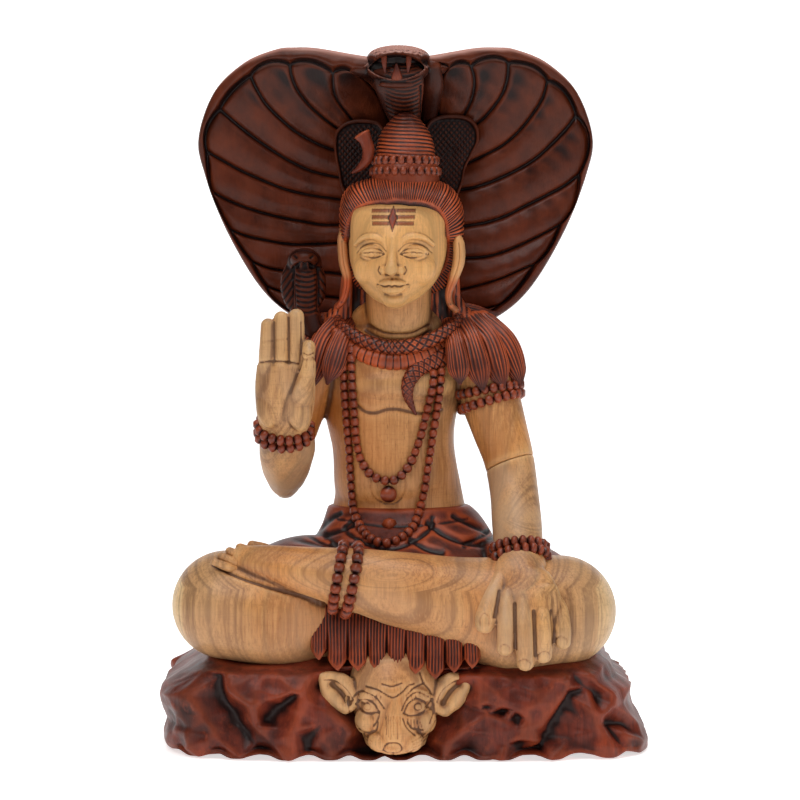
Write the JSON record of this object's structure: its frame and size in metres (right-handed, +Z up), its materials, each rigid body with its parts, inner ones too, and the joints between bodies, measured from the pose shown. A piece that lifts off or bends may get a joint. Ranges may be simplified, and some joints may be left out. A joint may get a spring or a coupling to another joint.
{
  "type": "carved wood figure",
  "caption": "Carved wood seated Shiva under a cobra hood, one hand raised and one on the knee, on a jagged rock base with a tiger's head.",
  "frame": {"origin": "middle of the flat underside of the rock base, at the middle of the whole figure's width and depth", "axes": "+Z up, -Y the way the figure faces, +X to the figure's left"},
  "size_m": [0.49, 0.2999, 0.7228],
  "materials": {
    "figure": "waxed semi-gloss wood, part stained dark red-brown",
    "right_forearm": "waxed semi-gloss wood, bracelet stained red-brown",
    "left_forearm": "waxed semi-gloss wood, bracelet stained red-brown"
  },
  "bodies": {
    "root": {"figure": "figure", "right_forearm": "right_forearm", "left_forearm": "left_forearm"}
  },
  "joints": []
}
